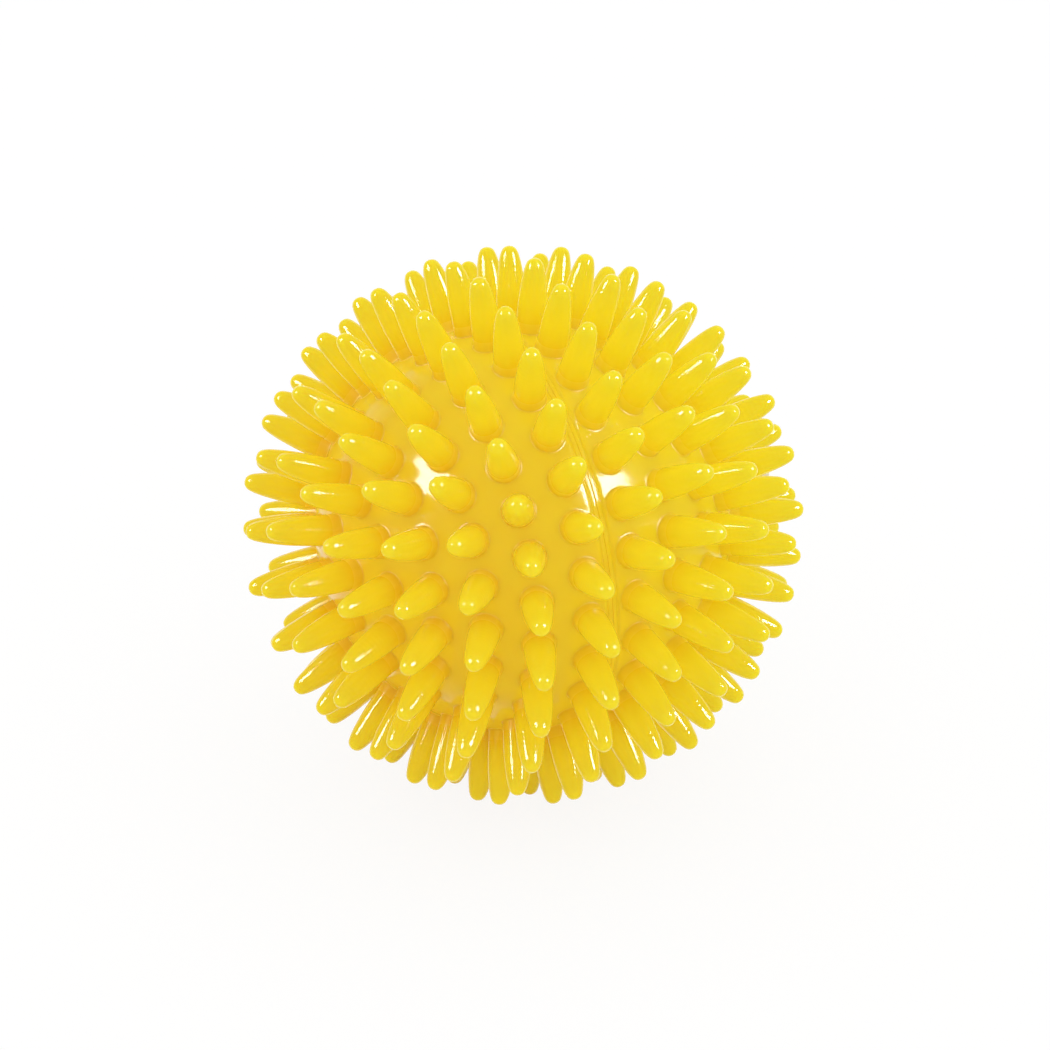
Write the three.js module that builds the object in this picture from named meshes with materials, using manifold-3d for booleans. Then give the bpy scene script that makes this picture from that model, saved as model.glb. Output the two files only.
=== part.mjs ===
// Spiky massage ball: a hollow ball of soft PVC in two spiked halves, welded at the seam, with an air valve.
// Millimetres, +Z up. The ball stands on the plane Z = 0 on the tips of its four lowest spikes. Its mould
// axis lies along X: the left half is on the -X side, the right half and its valve are on the +X side, and
// the seam lies in the plane X = 0.

import * as THREE from 'three';
import { mergeVertices } from 'three/addons/utils/BufferGeometryUtils.js';
import Module from 'manifold-3d';

// Ball
const BALL_DIAMETER = 80; // over the spike tips
const SPIKE_LENGTH = 10.5; // from the skin to the tip
const WALL = 2.6; // thickness of the hollow ball between the spikes
const REST_PRESS = 0.6; // how far the lowest tips are pressed flat where the ball stands

// Spikes
const SPIKE_ROOT_DIAMETER = 4.5; // at the skin
const SPIKE_TAPER = 0.24; // exponent of the spike's outline: 0 is a straight rod, 1 is a plain cone
const SPIKE_ROOT_DEPTH = 1.2; // how deep a spike's root reaches into the wall
const SPIKE_SIDES = 6;
const SPIKE_STATIONS = [0.3, 0.06]; // where the outline has a corner, as shares of the length from the tip

// Rings of spikes on one half, from the seam to the pole. The start of a ring is the angle round the mould
// axis, in degrees, from straight down towards the front (-Y) to the ring's first spike.
const LEFT_RING_SPIKES = [28, 27, 24, 19, 13, 6];
const RIGHT_RING_SPIKES = [28, 27, 24, 19, 14, 6];
const LEFT_RING_STARTS = [5, 9, 4, 14, 25.3, 0];
const RIGHT_RING_STARTS = [8, 6, 4, 3, 23.4, 30];

// Seam
const SEAM_GAP = 0.3; // between the two halves' rims
const LIP_WIDTH = 0.7; // raised edge of each half along the seam
const LIP_HEIGHT = 0.4;
const TONGUE_LENGTH = 2; // the left half's locating tongue, inside the right half's rebate

// Air valve at the pole of the right half, in a short thick stub that stands in place of the last spike
const FIT_CLEARANCE = 0.3; // between any two pieces that fit together
const STUB_HEIGHT = 6; // from the skin to the stub's flat end
const STUB_DIAMETER = 7.4;
const STUB_FOOT_DIAMETER = 8;
const BOSS_DIAMETER = 9; // flat pad inside the wall, round the bush
const BOSS_HEIGHT = 0.8;
const BUSH_BORE = 2.8;
const BUSH_NECK_DIAMETER = 4.4;
const BUSH_FLANGE_DIAMETER = 7;
const BUSH_FLANGE_THICKNESS = 0.9;
const STOPPER_HEAD_DIAMETER = 5.4;
const STOPPER_HEAD_THICKNESS = 1.3;
const STOPPER_STEM_REACH = 1; // how far the stem stands out of the bush's inner end
const STOPPER_CHAMFER = 0.5;

// Facets
const SHELL_SEGMENTS = 24;
const SKIN_STEPS = 6;
const CAVITY_STEPS = 4;
const VALVE_SEGMENTS = 24;

// Places worked out from the sizes
const skinRadius = BALL_DIAMETER / 2 - SPIKE_LENGTH;
const cavityRadius = skinRadius - WALL;
const ringStep = Math.PI / (LEFT_RING_SPIKES.length + RIGHT_RING_SPIKES.length + 1);
const tongueThickness = (WALL - FIT_CLEARANCE) / 2;
const tongueRadius = cavityRadius + tongueThickness;
const rebateRadius = tongueRadius + FIT_CLEARANCE;
const rebateDepth = TONGUE_LENGTH + FIT_CLEARANCE;
const bushSeat = skinRadius + STUB_HEIGHT;
const bossFace = cavityRadius - BOSS_HEIGHT;
const bushFlangeTop = bushSeat + FIT_CLEARANCE + BUSH_FLANGE_THICKNESS;
const bushInnerShoulder = bossFace - FIT_CLEARANCE;
const bushInnerEnd = bushInnerShoulder - BUSH_FLANGE_THICKNESS;

const wasm = await Module();
wasm.setup();

// A closed geometry as a solid, with its shared corners merged and its empty triangles left out.
function toSolid(geometry) {
  geometry.deleteAttribute('normal');
  geometry.deleteAttribute('uv');
  const merged = mergeVertices(geometry);
  const corners = merged.index.array;
  const triangles = [];
  for (let i = 0; i < corners.length; i += 3) {
    const [a, b, c] = corners.subarray(i, i + 3);
    if (a !== b && b !== c && c !== a) {
      triangles.push(a, b, c);
    }
  }
  const vertProperties = new Float32Array(merged.attributes.position.array);
  const triVerts = new Uint32Array(triangles);
  return new wasm.Manifold(new wasm.Mesh({ numProp: 3, vertProperties, triVerts }));
}

function toGeometry(solid) {
  const { vertProperties, triVerts } = solid.getMesh();
  const geometry = new THREE.BufferGeometry();
  geometry.setAttribute('position', new THREE.BufferAttribute(vertProperties, 3));
  geometry.setIndex(new THREE.BufferAttribute(triVerts, 1));
  geometry.computeVertexNormals();
  return geometry;
}

// Points on an arc about the ball's centre, as (distance from the mould axis, height above the seam plane).
function arc(radius, fromHeight, toHeight, steps) {
  const from = Math.asin(fromHeight / radius);
  const to = Math.asin(toHeight / radius);
  const points = [];
  for (let i = 0; i <= steps; i += 1) {
    const angle = from + ((to - from) * i) / steps;
    points.push(new THREE.Vector2(radius * Math.cos(angle), radius * Math.sin(angle)));
  }
  return points;
}

function heightOnArc(radius, fromAxis) {
  return Math.sqrt(radius * radius - fromAxis * fromAxis);
}

function turned(points, segments) {
  return new THREE.LatheGeometry(points.map(([x, y]) => new THREE.Vector2(x, y)), segments);
}

// The rim's outer edge: the raised lip, from the rim's face back to the skin.
function lip() {
  const lipRadius = skinRadius + LIP_HEIGHT;
  return [
    [lipRadius, SEAM_GAP / 2],
    [lipRadius, LIP_WIDTH],
  ];
}

function skin(toHeight) {
  return arc(skinRadius, LIP_WIDTH, toHeight, SKIN_STEPS);
}

// Left half without its spikes: a bowl, closed at the pole, with a tongue inside its rim.
function leftBowl() {
  return turned(
    [
      ...arc(cavityRadius, cavityRadius, 0, CAVITY_STEPS),
      [cavityRadius, -TONGUE_LENGTH],
      [tongueRadius, -TONGUE_LENGTH],
      [tongueRadius, SEAM_GAP / 2],
      ...lip(),
      ...skin(skinRadius),
    ],
    SHELL_SEGMENTS,
  );
}

// Right half without its spikes: a bowl with a rebate inside its rim, and at the pole a stub with a hole.
function rightBowl() {
  const holeRadius = BUSH_NECK_DIAMETER / 2 + FIT_CLEARANCE;
  const bossRadius = BOSS_DIAMETER / 2;
  const profile = [
    [holeRadius, bossFace],
    [bossRadius, bossFace],
    ...arc(cavityRadius, heightOnArc(cavityRadius, bossRadius), rebateDepth, CAVITY_STEPS),
    [rebateRadius, rebateDepth],
    [rebateRadius, SEAM_GAP / 2],
    ...lip(),
    ...skin(heightOnArc(skinRadius, STUB_FOOT_DIAMETER / 2)),
    [STUB_DIAMETER / 2, bushSeat],
    [holeRadius, bushSeat],
    [holeRadius, bossFace],
  ];
  return turned(profile, SHELL_SEGMENTS);
}

// Unit vector from the ball's centre to a spike's tip. The side is -1 on the left half and 1 on the right.
function spikeDirection(side, latitude, longitude) {
  const across = Math.cos(latitude);
  return new THREE.Vector3(
    side * Math.sin(latitude),
    -across * Math.sin(longitude),
    -across * Math.cos(longitude),
  );
}

function ringDirections(side, counts, starts) {
  return counts.flatMap((count, ring) =>
    Array.from({ length: count }, (_, i) => {
      const longitude = THREE.MathUtils.degToRad(starts[ring] + (360 * i) / count);
      return spikeDirection(side, (ring + 0.5) * ringStep, longitude);
    }),
  );
}

// One spike along its own axis, with its tip at the ball's full radius. Its outline is blunt at the tip and
// swells to the root, which is sunk into the wall.
function spikeGeometry(direction) {
  const tip = BALL_DIAMETER / 2;
  const rootShare = 1 + SPIKE_ROOT_DEPTH / SPIKE_LENGTH;
  const outline = [rootShare, ...SPIKE_STATIONS].map((share) => [
    (SPIKE_ROOT_DIAMETER / 2) * share ** SPIKE_TAPER,
    tip - share * SPIKE_LENGTH,
  ]);
  const profile = [[0, skinRadius - SPIKE_ROOT_DEPTH], ...outline, [0, tip]];
  const upright = new THREE.Vector3(0, 1, 0);
  const turn = new THREE.Quaternion().setFromUnitVectors(upright, direction);
  return turned(profile, SPIKE_SIDES).applyQuaternion(turn);
}

const leftSpikes = [...ringDirections(-1, LEFT_RING_SPIKES, LEFT_RING_STARTS), new THREE.Vector3(-1, 0, 0)];
const rightSpikes = ringDirections(1, RIGHT_RING_SPIKES, RIGHT_RING_STARTS);
const lowestTip = Math.max(...[...leftSpikes, ...rightSpikes].map((direction) => -direction.z));
const centreHeight = (lowestTip * BALL_DIAMETER) / 2 - REST_PRESS;

// What lies under the plane that the ball stands on, as seen from the ball's centre.
function belowGround() {
  const block = new THREE.BoxGeometry(BALL_DIAMETER, BALL_DIAMETER, BALL_DIAMETER);
  return toSolid(block.translate(0, 0, -centreHeight - BALL_DIAMETER / 2));
}

// A bowl with its spikes on, its lowest tips cut flat.
function spikedHalf(bowl, spikes) {
  const solid = spikes.reduce((half, direction) => half.add(toSolid(spikeGeometry(direction))), toSolid(bowl));
  return toGeometry(solid.subtract(belowGround()));
}

// Bush: a soft grommet with a bore, held by a flat flange outside and a tapered one inside.
function bushGeometry() {
  const bore = BUSH_BORE / 2;
  const neck = BUSH_NECK_DIAMETER / 2;
  const flange = BUSH_FLANGE_DIAMETER / 2;
  return turned(
    [
      [bore, bushInnerEnd],
      [neck, bushInnerEnd],
      [flange, bushInnerShoulder],
      [neck, bushInnerShoulder],
      [neck, bushSeat + FIT_CLEARANCE],
      [flange, bushSeat + FIT_CLEARANCE],
      [flange, bushFlangeTop],
      [bore, bushFlangeTop],
      [bore, bushInnerEnd],
    ],
    VALVE_SEGMENTS,
  );
}

// Stopper: a plain stem with a chamfered end and a low head to pull it by.
function stopperGeometry() {
  const stem = BUSH_BORE / 2 - FIT_CLEARANCE;
  const head = STOPPER_HEAD_DIAMETER / 2;
  const stemEnd = bushInnerEnd - STOPPER_STEM_REACH;
  const headUnder = bushFlangeTop + FIT_CLEARANCE;
  const headTop = headUnder + STOPPER_HEAD_THICKNESS;
  return turned(
    [
      [0, stemEnd],
      [stem - STOPPER_CHAMFER, stemEnd],
      [stem, stemEnd + STOPPER_CHAMFER],
      [stem, headUnder],
      [head, headUnder],
      [head, headTop - STOPPER_CHAMFER],
      [head - STOPPER_CHAMFER, headTop],
      [0, headTop],
    ],
    VALVE_SEGMENTS,
  );
}

// Turned shapes stand along Y, and lie along the mould axis in the ball.
function alongAxis(geometry, side) {
  return geometry.rotateZ((-side * Math.PI) / 2);
}

function softPlastic(color, roughness) {
  return new THREE.MeshStandardMaterial({ color, roughness, metalness: 0 });
}

const shellYellow = softPlastic('#f2cb1c', 0.25);
const bushYellow = softPlastic('#e9b92a', 0.4);
const stopperWhite = softPlastic('#efe9d8', 0.35);

const ball = new THREE.Group();
ball.position.z = centreHeight;

function addPiece(name, geometry, material) {
  const piece = new THREE.Mesh(geometry, material);
  piece.name = name;
  ball.add(piece);
}

addPiece('left_half_shell', spikedHalf(alongAxis(leftBowl(), -1), leftSpikes), shellYellow);
addPiece('right_half_shell', spikedHalf(alongAxis(rightBowl(), 1), rightSpikes), shellYellow);
addPiece('valve_bush', alongAxis(bushGeometry(), 1), bushYellow);
addPiece('valve_stopper', alongAxis(stopperGeometry(), 1), stopperWhite);

const massageBall = new THREE.Group();
massageBall.add(ball);

export default massageBall;
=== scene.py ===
import math

import bmesh
import bpy
from mathutils import Matrix, Vector


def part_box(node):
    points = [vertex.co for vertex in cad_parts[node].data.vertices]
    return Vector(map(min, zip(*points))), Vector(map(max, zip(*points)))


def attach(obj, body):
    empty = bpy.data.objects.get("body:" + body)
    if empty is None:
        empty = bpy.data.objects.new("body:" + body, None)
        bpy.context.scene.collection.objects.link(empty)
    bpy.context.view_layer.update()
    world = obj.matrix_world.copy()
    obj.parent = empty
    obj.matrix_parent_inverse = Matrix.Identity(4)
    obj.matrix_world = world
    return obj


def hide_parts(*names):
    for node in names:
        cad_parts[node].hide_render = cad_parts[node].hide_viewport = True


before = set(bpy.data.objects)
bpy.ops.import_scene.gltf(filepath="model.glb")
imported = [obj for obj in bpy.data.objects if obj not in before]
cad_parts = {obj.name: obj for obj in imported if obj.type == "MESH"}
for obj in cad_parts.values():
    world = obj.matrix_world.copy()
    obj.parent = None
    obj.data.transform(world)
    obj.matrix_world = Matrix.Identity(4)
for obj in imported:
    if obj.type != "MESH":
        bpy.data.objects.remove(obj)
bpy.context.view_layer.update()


# Half shells
# Two hollow halves of soft plasticised PVC, each moulded in one shot with its solid spikes and a raised lip
# round its rim. A tongue on the left half lines it up with a rebate in the right half, and the lips are
# welded together. At the right pole a short stub with a hole stands in place of the last spike.
MM = 0.001
SPIKE_LENGTH = 10.5 * MM
WALL = 2.6 * MM

# Rings of spikes from the seam to the pole: how many there are, and the place of the first, in degrees from
# straight down.
LEFT_RING_SPIKES = (28, 27, 24, 19, 13, 6)
LEFT_RING_STARTS = (5, 9, 4, 14, 25.3, 0)
RIGHT_RING_SPIKES = (28, 27, 24, 19, 14, 6)
RIGHT_RING_STARTS = (8, 6, 4, 3, 23.4, 30)

# The spike's outline as (height above the skin, radius, share in the foot), from the fillet at its foot to
# its blunt tip.
SPIKE_FOOT_RADIUS = 2.4 * MM
SPIKE_FOOT_SHARE = 0.5
SPIKE_OUTLINE = (
    (0.03 * MM, 2.33 * MM, 1),
    (0.3 * MM, 2.25 * MM, 0.9),
    (4.2 * MM, 2.15 * MM, 0),
    (8.3 * MM, 1.63 * MM, 0),
    (10.65 * MM, 0.98 * MM, 0),
)

LIP_WIDTH = 0.6 * MM
LIP_HEIGHT = 0.15 * MM
LIP_ROUND = 0.1 * MM
WELD_GAP = 0.01 * MM
WELD_ROUND = 0.02 * MM
TONGUE_LENGTH = 2 * MM
FIT_CLEARANCE = 0.3 * MM

STUB_HEIGHT = 6 * MM
STUB_FOOT_HEIGHT = 1.2 * MM
STUB_FOOT_RADIUS = 3.95 * MM
STUB_RADIUS = 3.7 * MM
STUB_EDGE = 0.5 * MM
HOLE_RADIUS = 2.5 * MM
BOSS_RADIUS = 4.5 * MM
BOSS_HEIGHT = 0.8 * MM

SHELL_SUBDIVISION = 2
SKIN_LIFT = 0.05 * MM
FOOT_SLACK = 0.12 * MM
CAVITY_RINGS = 4

ball_radius = -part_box("left_half_shell")[0].x
bush_low, bush_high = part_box("valve_bush")
ball_centre = Vector((0, 0, (bush_low.z + bush_high.z) / 2))
skin_radius = ball_radius - SPIKE_LENGTH
cavity_radius = skin_radius - WALL
tongue_radius = cavity_radius + (WALL - FIT_CLEARANCE) / 2
rebate_radius = tongue_radius + FIT_CLEARANCE
rebate_depth = TONGUE_LENGTH + FIT_CLEARANCE
boss_face = cavity_radius - BOSS_HEIGHT


def spike_directions(side, ring_spikes, ring_starts):
    """Unit vectors from the ball's centre along one half's spikes, ring by ring from the seam to the pole."""
    ring_step = math.pi / (2 * len(ring_spikes) + 1)
    directions = []
    for ring, (count, start) in enumerate(zip(ring_spikes, ring_starts)):
        latitude = (ring + 0.5) * ring_step
        across = math.cos(latitude)
        for spike in range(count):
            longitude = math.radians(start + 360 * spike / count)
            along_y = -across * math.sin(longitude)
            along_z = -across * math.cos(longitude)
            directions.append(Vector((side * math.sin(latitude), along_y, along_z)))
    directions.append(Vector((side, 0, 0)))
    return directions


def skin_net(side, directions, rim_corners, rim_turn):
    """The skin of one half as a net of faces, with a flat foot under each spike and an open rim."""
    bm = bmesh.new()
    bm.verts.layers.float.new("foot")
    roots = [bm.verts.new(direction * skin_radius) for direction in directions]
    rim_place = Matrix.Translation((side * (LIP_WIDTH + 2 * LIP_ROUND), 0, 0))
    rim_place = rim_place @ Matrix.Rotation(-rim_turn, 4, "X") @ Matrix.Rotation(math.pi / 2, 4, "Y")
    made = bmesh.ops.create_circle(bm, segments=rim_corners, radius=skin_radius, matrix=rim_place)
    rim = set(made["verts"])
    bmesh.ops.convex_hull(bm, input=bm.verts)
    lid = [face for face in bm.faces if rim.issuperset(face.verts)]
    bmesh.ops.delete(bm, geom=lid, context="FACES")
    bmesh.ops.recalc_face_normals(bm, faces=bm.faces)
    bmesh.ops.bevel(
        bm, geom=roots, offset=SPIKE_FOOT_RADIUS, offset_type="OFFSET", affect="VERTICES",
        segments=1, profile=0.5, material=-1,
    )
    return bm


def foot_face(bm, direction):
    """The face of the net that lies under one spike."""
    root = direction * skin_radius
    reach = SPIKE_FOOT_RADIUS + FOOT_SLACK
    for face in bm.faces:
        if all((vert.co - root).length < reach for vert in face.verts):
            return face


def round_out(bm, feet):
    """Puts a corner in the middle of each face between the feet and lifts it, so that the skin is round."""
    between = [face for face in bm.faces if face not in feet]
    for vert in bmesh.ops.poke(bm, faces=between)["verts"]:
        vert.co = vert.co.normalized() * (skin_radius + SKIN_LIFT)


def set_ring(face, direction, distance, radius):
    """Spreads a face's corners evenly round a direction. The radius is that of the subdivided surface, where
    each corner settles at four sixths of itself and a sixth of each neighbour."""
    corners = face.verts[:]
    count = len(corners)
    step = 2 * math.pi / count
    first = corners[0].co - direction * corners[0].co.dot(direction)
    first.normalize()
    across = direction.cross(first)
    lag = 0
    for i, vert in enumerate(corners):
        angle = math.atan2(vert.co.dot(across), vert.co.dot(first))
        lag += math.remainder(angle - step * i, 2 * math.pi) / count
    cage_radius = radius * 6 / (4 + 2 * math.cos(step))
    for i, vert in enumerate(corners):
        outward = first * math.cos(lag + step * i) + across * math.sin(lag + step * i)
        vert.co = direction * distance + outward * cage_radius


def mark_foot(bm, face, share):
    """Notes on a face's corners how much they belong to a spike's foot."""
    foot = bm.verts.layers.float["foot"]
    for vert in face.verts:
        vert[foot] = share


def draw_out(bm, face, direction, outline):
    """Extrudes a face along its direction through the rings of an outline, and gives the last face."""
    for height, radius, share in outline:
        face = bmesh.ops.extrude_discrete_faces(bm, faces=[face])["faces"][0]
        set_ring(face, direction, skin_radius + height, radius)
        mark_foot(bm, face, share)
    return face


def turn_in(bm, side, edges, outline):
    """Extrudes an open edge loop round the mould axis through (height above the seam, radius) rings."""
    for height, radius in outline:
        made = bmesh.ops.extrude_edge_only(bm, edges=edges)["geom"]
        edges = [item for item in made if isinstance(item, bmesh.types.BMEdge) and item.is_boundary]
        for vert in {vert for edge in edges for vert in edge.verts}:
            outward = Vector((0, vert.co.y, vert.co.z)).normalized()
            vert.co = outward * radius + Vector((side * height, 0, 0))
    return edges


def lip_outline(inner_radius):
    """The lip from the skin round its crest and down the rim's face."""
    crest = skin_radius + LIP_HEIGHT
    return [
        (LIP_WIDTH + LIP_ROUND, skin_radius),
        (LIP_WIDTH, skin_radius + LIP_ROUND),
        (LIP_WIDTH - LIP_ROUND, crest),
        (WELD_GAP / 2 + WELD_ROUND, crest),
        (WELD_GAP / 2, crest - WELD_ROUND),
        (WELD_GAP / 2, inner_radius),
    ]


def cavity_outline(from_height, to_radius):
    """The inner wall of the hollow, from near the rim towards the pole."""
    start = math.asin(from_height / cavity_radius)
    stop = math.acos(to_radius / cavity_radius)
    rings = []
    for i in range(CAVITY_RINGS + 1):
        angle = start + (stop - start) * i / CAVITY_RINGS
        rings.append((cavity_radius * math.sin(angle), cavity_radius * math.cos(angle)))
    return rings


def finished_piece(name, bm):
    """A smooth mesh object at the origin."""
    for face in bm.faces:
        face.smooth = True
    mesh = bpy.data.meshes.new(name)
    bm.to_mesh(mesh)
    bm.free()
    piece = bpy.data.objects.new(name, mesh)
    bpy.context.scene.collection.objects.link(piece)
    return piece


def half_shell(name, side, ring_spikes, ring_starts, rim_outline, valve_outline=None):
    """One half with its spikes, its rim and its hollow. A valve outline gives it a stub with a hole."""
    directions = spike_directions(side, ring_spikes, ring_starts)
    rim_corners = ring_spikes[0]
    half_pitch = 180 / rim_corners
    bm = skin_net(side, directions, rim_corners, math.radians(ring_starts[0] + half_pitch))
    feet = [foot_face(bm, direction) for direction in directions]
    round_out(bm, feet)
    rim = [edge for edge in bm.edges if edge.is_boundary]
    rim = turn_in(bm, side, rim, rim_outline)
    if valve_outline:
        stub_foot = feet.pop()
        pole = directions.pop()
        set_ring(stub_foot, pole, skin_radius, STUB_FOOT_RADIUS)
        hole = draw_out(bm, stub_foot, pole, valve_outline)
        hole_edges = hole.edges[:]
        bmesh.ops.delete(bm, geom=[hole], context="FACES_ONLY")
        bmesh.ops.bridge_loops(bm, edges=rim + hole_edges)
    else:
        bmesh.ops.edgeloop_fill(bm, edges=rim)
    foot_distance = math.sqrt(skin_radius ** 2 - SPIKE_FOOT_RADIUS ** 2)
    for foot, direction in zip(feet, directions):
        set_ring(foot, direction, foot_distance, SPIKE_FOOT_RADIUS)
        mark_foot(bm, foot, SPIKE_FOOT_SHARE)
        draw_out(bm, foot, direction, SPIKE_OUTLINE)
    bmesh.ops.recalc_face_normals(bm, faces=bm.faces)
    bmesh.ops.translate(bm, vec=ball_centre, verts=bm.verts)
    # The tips that the ball stands on are pressed flat.
    for vert in bm.verts:
        vert.co.z = max(vert.co.z, 0)
    shell = finished_piece(name, bm)
    rounding = shell.modifiers.new("rounding", "SUBSURF")
    rounding.levels = SHELL_SUBDIVISION
    rounding.render_levels = SHELL_SUBDIVISION
    return shell


left_rim = [
    *lip_outline(tongue_radius),
    (-TONGUE_LENGTH, tongue_radius),
    (-TONGUE_LENGTH, cavity_radius),
    *cavity_outline(0, BOSS_RADIUS),
]
right_rim = [
    *lip_outline(rebate_radius),
    (rebate_depth, rebate_radius),
    *cavity_outline(rebate_depth, BOSS_RADIUS),
    (boss_face, BOSS_RADIUS),
]
stub_outline = [
    (STUB_FOOT_HEIGHT, STUB_RADIUS, 0),
    (STUB_HEIGHT - STUB_EDGE, STUB_RADIUS, 0),
    (STUB_HEIGHT, STUB_RADIUS - STUB_EDGE / 2, 0),
    (STUB_HEIGHT, HOLE_RADIUS + STUB_EDGE / 2, 0),
    (STUB_HEIGHT - STUB_EDGE, HOLE_RADIUS, 0),
    (boss_face - skin_radius, HOLE_RADIUS, 0),
]
left_half_shell = half_shell("left_spiked_half", -1, LEFT_RING_SPIKES, LEFT_RING_STARTS, left_rim)
right_half_shell = half_shell(
    "right_spiked_half", 1, RIGHT_RING_SPIKES, RIGHT_RING_STARTS, right_rim, stub_outline,
)


def to_linear(hex_colour):
    """An sRGB hex colour as the linear colour that a shader takes."""
    channels = [int(hex_colour[i:i + 2], 16) / 255 for i in (1, 3, 5)]
    linear = [c / 12.92 if c <= 0.04045 else ((c + 0.055) / 1.055) ** 2.4 for c in channels]
    return (*linear, 1)


def add_node(tree, kind, settings=None, **inputs):
    """Adds a node. Settings are its properties, and inputs are values or the sockets to link from. An input
    is named with _ for each space, or numbered as i0, i1 and so on."""
    node = tree.nodes.new(kind)
    for key, value in (settings or {}).items():
        setattr(node, key, value)
    for key, value in inputs.items():
        numbered = key[0] == "i" and key[1:].isdigit()
        socket = node.inputs[int(key[1:]) if numbered else key.replace("_", " ")]
        if isinstance(value, bpy.types.NodeSocket):
            tree.links.new(value, socket)
        else:
            socket.default_value = value
    return node


# Colour: the spikes are lemon and the skin between them is painted a deeper amber, as painted shade, and
# both are painted lighter towards the lit side and deeper away from it, as painted light and shade.
BODY_AMBER = "#fee52e"
DEEP_AMBER = "#fecf30"
SPIKE_LEMON = "#f7e72f"
SPIKE_GOLD = "#f7de31"
LEMON_HEIGHT = 4 * MM
# Painted shade: the tips are darkened to this share, so that the flanks, which the neighbouring spikes shade,
# look no darker than them.
TIP_PAINTED_SHADE = 0.88
# Painted light and shade: the colours are painted lighter towards this side, where the light falls, and
# deeper away from it.
PAINTED_LIGHT_SIDE = (0.89, -0.1, 0.45)
MOTTLE_SIZE = 9 * MM
MOTTLE_SHARE = 0.3

# Gloss and depth: light goes into the plastic, red the deepest, but not across the weld.
PVC_IOR = 1.53
SKIN_ROUGHNESS_LOW = 0.1
SKIN_ROUGHNESS_HIGH = 0.17
SPIKE_ROUGHNESS = 0.06
FOOT_ROUGHNESS = 0.4
FOOT_BLEND = 0.35
SCATTER_DEPTH = 1 * MM
WELD_SCATTER_DEPTH = 0.1 * MM
SCATTER_BY_COLOUR = (1, 0.9, 0.4)

# Relief: soft waves in the skin, mould rings on the spikes, and trim marks along the seam.
WAVE_SIZE = 1.4 * MM
WAVE_DEPTH = 0.004 * MM
RIPPLE_PITCH = 0.7 * MM
RIPPLE_DEPTH = 0.008 * MM
TRIM_MARK_WIDTH = 0.16 * MM
TRIM_MARK_LENGTH = 5 * MM
TRIM_MARK_DEPTH = 0.01 * MM
TRIM_CORE = 0.6 * MM
TRIM_REACH = 2.4 * MM


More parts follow.
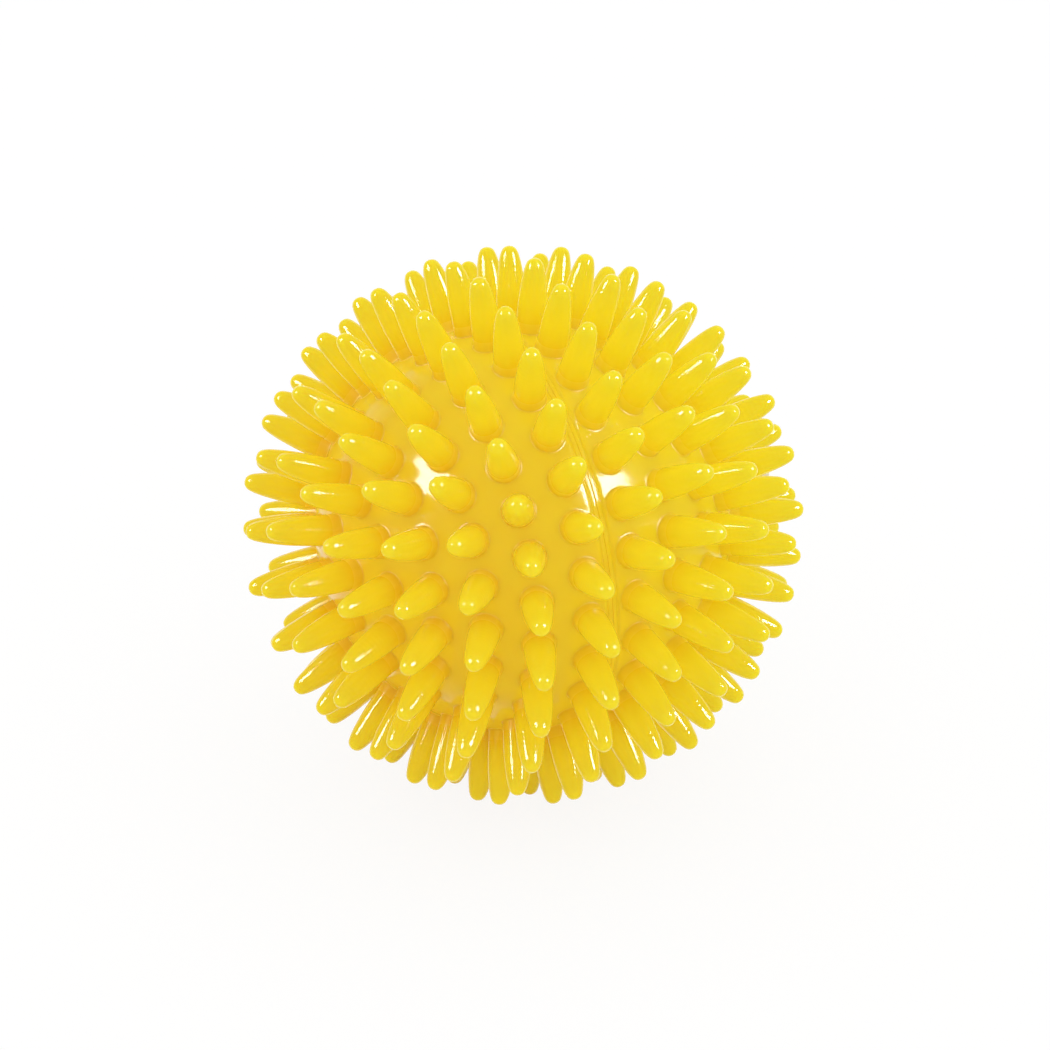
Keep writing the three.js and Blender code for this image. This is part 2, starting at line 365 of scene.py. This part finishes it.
def glossy_pvc():
    """Plasticised PVC from a polished mould: wet-looking gloss over a slightly see-through, deep yellow body.
    The spikes are lemon with their tips painted a shade darker, and the skin between them is painted a deeper
    amber; both are painted lighter on the lit side and deeper away from it, all painted light and shade. The
    polish is duller at the foot of each spike. Faint rings from the drilled mould go round the spikes, and
    fine marks run along the trimmed seam."""
    material = bpy.data.materials.new("moulded_pvc_yellow")
    material.use_nodes = True
    tree = material.node_tree
    shader = tree.nodes["Principled BSDF"]
    shader.subsurface_method = "RANDOM_WALK"
    shader.inputs["IOR"].default_value = PVC_IOR
    shader.inputs["Subsurface Weight"].default_value = 1
    shader.inputs["Subsurface Radius"].default_value = SCATTER_BY_COLOUR

    # Where on the ball a point lies: up a spike, near the seam, on a foot, or towards the side that is
    # painted lit.
    place = add_node(tree, "ShaderNodeTexCoord").outputs["Object"]
    from_centre = add_node(tree, "ShaderNodeVectorMath", {"operation": "SUBTRACT"}, i0=place, i1=ball_centre)
    distance = add_node(tree, "ShaderNodeVectorMath", {"operation": "LENGTH"}, i0=from_centre.outputs[0])
    along = add_node(
        tree, "ShaderNodeMapRange", {"interpolation_type": "SMOOTHSTEP"}, Value=distance.outputs["Value"],
        From_Min=skin_radius, From_Max=skin_radius + LEMON_HEIGHT,
    )
    across = add_node(tree, "ShaderNodeSeparateXYZ", None, Vector=place)
    from_seam = add_node(tree, "ShaderNodeMath", {"operation": "ABSOLUTE"}, i0=across.outputs["X"])
    near_seam = add_node(
        tree, "ShaderNodeMapRange", {"interpolation_type": "SMOOTHSTEP"}, Value=from_seam.outputs[0],
        From_Min=TRIM_CORE, From_Max=TRIM_REACH, To_Min=1, To_Max=0,
    )
    foot = add_node(tree, "ShaderNodeAttribute", {"attribute_name": "foot"})
    on_foot = add_node(
        tree, "ShaderNodeMapRange", {"interpolation_type": "SMOOTHSTEP"}, Value=foot.outputs["Fac"],
        From_Min=SPIKE_FOOT_SHARE, From_Max=SPIKE_FOOT_SHARE + FOOT_BLEND,
    )
    # Painted light and shade: lighter towards the lit side, deeper away from it.
    toward_painted_light = add_node(
        tree, "ShaderNodeVectorMath", {"operation": "DOT_PRODUCT"},
        i0=from_centre.outputs[0], i1=Vector(PAINTED_LIGHT_SIDE).normalized(),
    )
    painted_light_share = add_node(
        tree, "ShaderNodeMapRange", None, Value=toward_painted_light.outputs["Value"],
        From_Min=-skin_radius, From_Max=skin_radius,
    )
    mottle = add_node(tree, "ShaderNodeTexNoise", None, Vector=place, Scale=1 / MOTTLE_SIZE, Detail=2)

    # Colour
    # Painted light and shade across the ball, with a random mottle of tone mixed in.
    painted_light_and_mottle = add_node(
        tree, "ShaderNodeMix", {"data_type": "FLOAT"}, Factor=MOTTLE_SHARE,
        i2=painted_light_share.outputs["Result"], i3=mottle.outputs[0],
    )
    body = add_node(
        tree, "ShaderNodeMix", {"data_type": "RGBA"}, Factor=painted_light_and_mottle.outputs[0],
        i6=to_linear(DEEP_AMBER), i7=to_linear(BODY_AMBER),
    )
    spike = add_node(
        tree, "ShaderNodeMix", {"data_type": "RGBA"}, Factor=painted_light_and_mottle.outputs[0],
        i6=to_linear(SPIKE_GOLD), i7=to_linear(SPIKE_LEMON),
    )
    # Painted shade: the skin between the spikes is a deeper amber than the spikes.
    colour = add_node(
        tree, "ShaderNodeMix", {"data_type": "RGBA"}, Factor=along.outputs["Result"],
        i6=body.outputs[2], i7=spike.outputs[2],
    )
    # Painted shade: the tips are darkened.
    tip_shade = add_node(
        tree, "ShaderNodeMapRange", {"interpolation_type": "SMOOTHSTEP"}, Value=distance.outputs["Value"],
        From_Min=skin_radius + LEMON_HEIGHT, From_Max=skin_radius + SPIKE_LENGTH, To_Min=1, To_Max=TIP_PAINTED_SHADE,
    )
    tip_shaded_colour = add_node(
        tree, "ShaderNodeVectorMath", {"operation": "SCALE"},
        i0=colour.outputs[2], Scale=tip_shade.outputs["Result"],
    )
    tree.links.new(tip_shaded_colour.outputs[0], shader.inputs["Base Color"])

    # Gloss and depth
    skin_gloss = add_node(
        tree, "ShaderNodeMapRange", None, Value=mottle.outputs[0],
        To_Min=SKIN_ROUGHNESS_LOW, To_Max=SKIN_ROUGHNESS_HIGH,
    )
    gloss = add_node(
        tree, "ShaderNodeMix", {"data_type": "FLOAT"}, Factor=along.outputs["Result"],
        i2=skin_gloss.outputs["Result"], i3=SPIKE_ROUGHNESS,
    )
    dulled = add_node(
        tree, "ShaderNodeMix", {"data_type": "FLOAT"}, Factor=on_foot.outputs["Result"],
        i2=gloss.outputs[0], i3=FOOT_ROUGHNESS,
    )
    tree.links.new(dulled.outputs[0], shader.inputs["Roughness"])
    scatter = add_node(
        tree, "ShaderNodeMapRange", None, Value=near_seam.outputs["Result"],
        To_Min=SCATTER_DEPTH, To_Max=WELD_SCATTER_DEPTH,
    )
    tree.links.new(scatter.outputs["Result"], shader.inputs["Subsurface Scale"])

    # Relief
    wave = add_node(tree, "ShaderNodeTexNoise", None, Vector=place, Scale=1 / WAVE_SIZE, Detail=1)
    wavy = add_node(tree, "ShaderNodeBump", None, Height=wave.outputs[0], Distance=WAVE_DEPTH)
    turns = add_node(
        tree, "ShaderNodeMath", {"operation": "MULTIPLY"},
        i0=distance.outputs["Value"], i1=2 * math.pi / RIPPLE_PITCH,
    )
    ripple = add_node(tree, "ShaderNodeMath", {"operation": "SINE"}, i0=turns.outputs[0])
    rippled = add_node(
        tree, "ShaderNodeBump", None, Height=ripple.outputs[0], Strength=along.outputs["Result"],
        Distance=RIPPLE_DEPTH / 2, Normal=wavy.outputs[0],
    )
    stretched = add_node(
        tree, "ShaderNodeVectorMath", {"operation": "MULTIPLY"}, i0=place,
        i1=(1 / TRIM_MARK_WIDTH, 1 / TRIM_MARK_LENGTH, 1 / TRIM_MARK_LENGTH),
    )
    marks = add_node(tree, "ShaderNodeTexNoise", None, Vector=stretched.outputs[0], Scale=1, Detail=1)
    off_spikes = add_node(
        tree, "ShaderNodeMath", {"operation": "SUBTRACT"}, i0=1, i1=along.outputs["Result"],
    )
    on_trim = add_node(
        tree, "ShaderNodeMath", {"operation": "MULTIPLY"},
        i0=near_seam.outputs["Result"], i1=off_spikes.outputs[0],
    )
    trimmed = add_node(
        tree, "ShaderNodeBump", None, Height=marks.outputs[0], Strength=on_trim.outputs[0],
        Distance=TRIM_MARK_DEPTH, Normal=rippled.outputs[0],
    )
    tree.links.new(trimmed.outputs[0], shader.inputs["Normal"])
    return material


pvc = glossy_pvc()
for shell, node in ((left_half_shell, "left_half_shell"), (right_half_shell, "right_half_shell")):
    shell.data.materials.append(pvc)
    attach(shell, "ball")
    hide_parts(node)


# Valve bush
# A soft moulded grommet that is pressed into the stub's hole. A flange on either end keeps it there, and the
# stopper goes into its bore.
BUSH_FLANGE_RADIUS = 3.5 * MM
BUSH_FLANGE = 0.9 * MM
BUSH_NECK_RADIUS = 2.2 * MM
BUSH_BORE_RADIUS = 1.4 * MM
BUSH_ROUND = 0.25 * MM
BUSH_OCHRE = "#e9b92a"
BUSH_ROUGHNESS = 0.45
BUSH_GRAIN = 0.25 * MM
BUSH_GRAIN_DEPTH = 0.01 * MM

TURNED_STEPS = 48
MERGE_DISTANCE = 0.001 * MM
SHARP_EDGE = math.radians(30)
ROUND_STEPS = 3

# Flow marks are this many grains wide, and shade the colour between these two levels.
FLOW_MARK_GRAINS = 8
FLOW_DARK = 0.9
FLOW_LIGHT = 1.06
PLASTIC_IOR = 1.52


def turned_piece(name, outline, rounding):
    """A piece turned round the mould axis from (distance from the ball's centre, radius) points."""
    bm = bmesh.new()
    corners = [bm.verts.new((along, 0, radius)) for along, radius in outline]
    edges = [bm.edges.new(pair) for pair in zip(corners, corners[1:])]
    if outline[0][1] > 0:
        edges.append(bm.edges.new((corners[-1], corners[0])))
    bmesh.ops.spin(
        bm, geom=corners + edges, cent=(0, 0, 0), axis=(1, 0, 0), angle=2 * math.pi,
        steps=TURNED_STEPS, use_merge=True,
    )
    bmesh.ops.remove_doubles(bm, verts=bm.verts, dist=MERGE_DISTANCE)
    bmesh.ops.recalc_face_normals(bm, faces=bm.faces)
    sharp = [edge for edge in bm.edges if edge.is_manifold and edge.calc_face_angle() > SHARP_EDGE]
    bmesh.ops.bevel(
        bm, geom=sharp, offset=rounding, offset_type="OFFSET", affect="EDGES", segments=ROUND_STEPS,
        profile=0.5, clamp_overlap=True, material=-1,
    )
    bmesh.ops.translate(bm, vec=ball_centre, verts=bm.verts)
    return finished_piece(name, bm)


def moulded_plastic(name, colour, roughness, grain_size, grain_depth):
    """An unpolished moulding: one colour with faint flow marks, and a fine grain from the mould."""
    material = bpy.data.materials.new(name)
    material.use_nodes = True
    tree = material.node_tree
    shader = tree.nodes["Principled BSDF"]
    shader.inputs["Roughness"].default_value = roughness
    shader.inputs["IOR"].default_value = PLASTIC_IOR
    place = add_node(tree, "ShaderNodeTexCoord").outputs["Object"]
    flow = add_node(
        tree, "ShaderNodeTexNoise", None, Vector=place, Scale=1 / (FLOW_MARK_GRAINS * grain_size), Detail=3,
    )
    shade = add_node(
        tree, "ShaderNodeMapRange", None, Value=flow.outputs[0], To_Min=FLOW_DARK, To_Max=FLOW_LIGHT,
    )
    tint = add_node(
        tree, "ShaderNodeVectorMath", {"operation": "SCALE"},
        i0=to_linear(colour)[:3], Scale=shade.outputs[0],
    )
    tree.links.new(tint.outputs[0], shader.inputs["Base Color"])
    grain = add_node(tree, "ShaderNodeTexNoise", None, Vector=place, Scale=1 / grain_size, Detail=2)
    bumps = add_node(tree, "ShaderNodeBump", None, Height=grain.outputs[0], Distance=grain_depth)
    tree.links.new(bumps.outputs[0], shader.inputs["Normal"])
    return material


bush_end = bush_low.x
bush_face = bush_high.x
valve_bush = turned_piece("air_valve_bush", [
    (bush_end, BUSH_BORE_RADIUS),
    (bush_end, BUSH_FLANGE_RADIUS),
    (bush_end + BUSH_FLANGE, BUSH_FLANGE_RADIUS),
    (bush_end + BUSH_FLANGE, BUSH_NECK_RADIUS),
    (bush_face - BUSH_FLANGE, BUSH_NECK_RADIUS),
    (bush_face - BUSH_FLANGE, BUSH_FLANGE_RADIUS),
    (bush_face, BUSH_FLANGE_RADIUS),
    (bush_face, BUSH_BORE_RADIUS),
], BUSH_ROUND)

# Soft rubber with a matt, slightly grainy skin.
bush_rubber = moulded_plastic("soft_bush_rubber", BUSH_OCHRE, BUSH_ROUGHNESS, BUSH_GRAIN, BUSH_GRAIN_DEPTH)
valve_bush.data.materials.append(bush_rubber)
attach(valve_bush, "ball")
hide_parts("valve_bush")


# Valve stopper
# A stiff off-white polythene plug that is pushed into the bush by hand. Its wide head stops it and can be
# pulled out with a fingernail. A shallow dish in the head is left by the mould gate.
STOPPER_HEAD_RADIUS = 2.7 * MM
STOPPER_HEAD = 1.3 * MM
STOPPER_STEM_RADIUS = 1.1 * MM
STOPPER_CHAMFER = 0.5 * MM
STOPPER_DISH_RADIUS = 1.3 * MM
STOPPER_DISH_DEPTH = 0.3 * MM
STOPPER_ROUND = 0.2 * MM
STOPPER_IVORY = "#efe9d8"
STOPPER_ROUGHNESS = 0.32
STOPPER_GRAIN = 0.4 * MM
STOPPER_GRAIN_DEPTH = 0.006 * MM

stopper_low, stopper_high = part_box("valve_stopper")
stopper_face = stopper_high.x
stopper_end = stopper_low.x
valve_stopper = turned_piece("air_valve_stopper", [
    (stopper_end, 0),
    (stopper_end, STOPPER_STEM_RADIUS - STOPPER_CHAMFER),
    (stopper_end + STOPPER_CHAMFER, STOPPER_STEM_RADIUS),
    (stopper_face - STOPPER_HEAD, STOPPER_STEM_RADIUS),
    (stopper_face - STOPPER_HEAD, STOPPER_HEAD_RADIUS),
    (stopper_face, STOPPER_HEAD_RADIUS),
    (stopper_face, STOPPER_DISH_RADIUS),
    (stopper_face - STOPPER_DISH_DEPTH, STOPPER_DISH_RADIUS - STOPPER_DISH_DEPTH),
    (stopper_face - STOPPER_DISH_DEPTH, 0),
], STOPPER_ROUND)

# Stiff polythene with a satin, waxy skin.
ivory_polythene = moulded_plastic(
    "ivory_polythene", STOPPER_IVORY, STOPPER_ROUGHNESS, STOPPER_GRAIN, STOPPER_GRAIN_DEPTH,
)
valve_stopper.data.materials.append(ivory_polythene)
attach(valve_stopper, "stopper")
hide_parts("valve_stopper")


# Floor
# A plain matt white sheet that the ball stands on, wide enough to fill the view. It takes the ball's shadow,
# and the camera sees it lifted almost to the white of the room behind.
FLOOR_SIZE = 6
FLOOR_WHITE = "#f4f4f4"
FLOOR_ROUGHNESS = 0.9
FLOOR_GLOW = 0.88

floor_bm = bmesh.new()
bmesh.ops.create_grid(floor_bm, x_segments=1, y_segments=1, size=FLOOR_SIZE / 2)
floor = finished_piece("floor", floor_bm)
floor_material = bpy.data.materials.new("matt_white_sheet")
floor_material.use_nodes = True
floor_tree = floor_material.node_tree
floor_shader = floor_tree.nodes["Principled BSDF"]
floor_shader.inputs["Base Color"].default_value = to_linear(FLOOR_WHITE)
floor_shader.inputs["Roughness"].default_value = FLOOR_ROUGHNESS
floor_rays = add_node(floor_tree, "ShaderNodeLightPath")
floor_glow = add_node(
    floor_tree, "ShaderNodeMath", {"operation": "MULTIPLY"},
    i0=floor_rays.outputs["Is Camera Ray"], i1=FLOOR_GLOW,
)
floor_white = add_node(floor_tree, "ShaderNodeEmission")
floor_mix = add_node(
    floor_tree, "ShaderNodeMixShader", None,
    i0=floor_glow.outputs[0], i1=floor_shader.outputs[0], i2=floor_white.outputs[0],
)
floor_tree.links.new(floor_mix.outputs[0], floor_tree.nodes["Material Output"].inputs["Surface"])
floor.data.materials.append(floor_material)
# The gloss doesn't mirror the sheet, which would draw a white arc round the foot of each spike.
floor.visible_glossy = False


# Camera
# It stands where the photograph was taken from: in front of the ball, above it and a little to the left. Its
# frame is square, and the ball's centre lies in the middle but for a small step aside.
CAMERA_AZIMUTH = -24.8
CAMERA_ELEVATION = 32.3
CAMERA_ROLL = 0.5
CAMERA_DISTANCE = 0.6
VIEW_WIDTH = 0.1494
SENSOR_WIDTH = 36
AIM_RIGHT = 0.35 * MM

azimuth = math.radians(CAMERA_AZIMUTH)
elevation = math.radians(CAMERA_ELEVATION)
towards_camera = Vector((
    math.sin(azimuth) * math.cos(elevation),
    -math.cos(azimuth) * math.cos(elevation),
    math.sin(elevation),
))
view_right = Vector((math.cos(azimuth), math.sin(azimuth), 0))
view_up = towards_camera.cross(view_right)

camera_data = bpy.data.cameras.new("camera")
camera_data.sensor_fit = "HORIZONTAL"
camera_data.sensor_width = SENSOR_WIDTH
camera_data.lens = SENSOR_WIDTH * CAMERA_DISTANCE / VIEW_WIDTH
camera = bpy.data.objects.new("camera", camera_data)
bpy.context.scene.collection.objects.link(camera)
facing = Matrix((view_right, view_up, towards_camera)).transposed().to_4x4()
standpoint = ball_centre + towards_camera * CAMERA_DISTANCE + view_right * AIM_RIGHT
roll = Matrix.Rotation(math.radians(-CAMERA_ROLL), 4, "Z")
camera.matrix_world = Matrix.Translation(standpoint) @ facing @ roll
bpy.context.scene.camera = camera


# Studio lights
# Two square soft boxes stand left and right above the camera and draw the highlights. A pale room all round
# lights the ball evenly, a little more from above right.
LAMP_DISTANCE = 1.0
LAMP_SIZE = 0.42
LEFT_RADIANCE = 15
RIGHT_RADIANCE = 19
ROOM_LIGHT = 1.115
ROOM_SLOPE = 0.065

# Directions from the ball as shares to the right, up and towards the camera, as the photograph has them.
LEFT_LAMP = (-0.785, 0.375, 0.493)
RIGHT_LAMP = (0.704, 0.347, 0.62)
BRIGHT_SIDE = (0.6, 0.8, 0)

# The gloss mirrors a room that is white far behind the ball and dim from its sides to the camera. These are
# the cosines of the angle to the camera where the white ends and where the dim part starts.
ROOM_FRONT = 0.15
WHITE_UNTIL = -0.95
DIM_FROM = -0.2

# Light goes from spike to spike many times, which gives the gaps between them their deep colour.
DIFFUSE_BOUNCES = 10
ALL_BOUNCES = 16


def way_from_ball(shares):
    """A unit vector from its shares to the right, up and towards the camera."""
    right, up, near = shares
    return (view_right * right + view_up * up + towards_camera * near).normalized()


for lamp_name, radiance, shares in (
    ("left_soft_box", LEFT_RADIANCE, LEFT_LAMP),
    ("right_soft_box", RIGHT_RADIANCE, RIGHT_LAMP),
):
    lamp_data = bpy.data.lights.new(lamp_name, "AREA")
    lamp_data.shape = "SQUARE"
    lamp_data.size = LAMP_SIZE
    lamp_data.energy = radiance * math.pi * LAMP_SIZE ** 2
    lamp = bpy.data.objects.new(lamp_name, lamp_data)
    bpy.context.scene.collection.objects.link(lamp)
    lamp_way = way_from_ball(shares)
    lamp.location = ball_centre + lamp_way * LAMP_DISTANCE
    lamp.rotation_euler = lamp_way.to_track_quat("Z", "Y").to_euler()
    lamp.visible_diffuse = False

world = bpy.data.worlds.new("pale_room")
world.use_nodes = True
bpy.context.scene.world = world
sky = world.node_tree
rays = add_node(sky, "ShaderNodeLightPath")
outlook = add_node(sky, "ShaderNodeTexCoord")
frontness = add_node(
    sky, "ShaderNodeVectorMath", {"operation": "DOT_PRODUCT"},
    i0=outlook.outputs["Generated"], i1=towards_camera,
)
mirrored = add_node(
    sky, "ShaderNodeMapRange", {"interpolation_type": "SMOOTHSTEP"}, Value=frontness.outputs["Value"],
    From_Min=WHITE_UNTIL, From_Max=DIM_FROM, To_Min=1, To_Max=ROOM_FRONT,
)
seen = add_node(
    sky, "ShaderNodeMath", {"operation": "MAXIMUM"},
    i0=rays.outputs["Is Camera Ray"], i1=rays.outputs["Is Transmission Ray"],
)
brightward = add_node(
    sky, "ShaderNodeVectorMath", {"operation": "DOT_PRODUCT"},
    i0=outlook.outputs["Generated"], i1=way_from_ball(BRIGHT_SIDE),
)
lit = add_node(
    sky, "ShaderNodeMapRange", None, Value=brightward.outputs["Value"], From_Min=-1, From_Max=1,
    To_Min=ROOM_LIGHT - ROOM_SLOPE, To_Max=ROOM_LIGHT + ROOM_SLOPE,
)
lit_or_seen = add_node(
    sky, "ShaderNodeMix", {"data_type": "FLOAT"}, Factor=seen.outputs[0], i2=lit.outputs[0], i3=1,
)
brightness = add_node(
    sky, "ShaderNodeMix", {"data_type": "FLOAT"}, Factor=rays.outputs["Is Glossy Ray"],
    i2=lit_or_seen.outputs[0], i3=mirrored.outputs[0],
)
backdrop = sky.nodes["Background"]
backdrop.inputs["Color"].default_value = (1, 1, 1, 1)
sky.links.new(brightness.outputs[0], backdrop.inputs["Strength"])

bpy.context.scene.view_settings.view_transform = "Standard"
bpy.context.scene.cycles.diffuse_bounces = DIFFUSE_BOUNCES
bpy.context.scene.cycles.max_bounces = ALL_BOUNCES
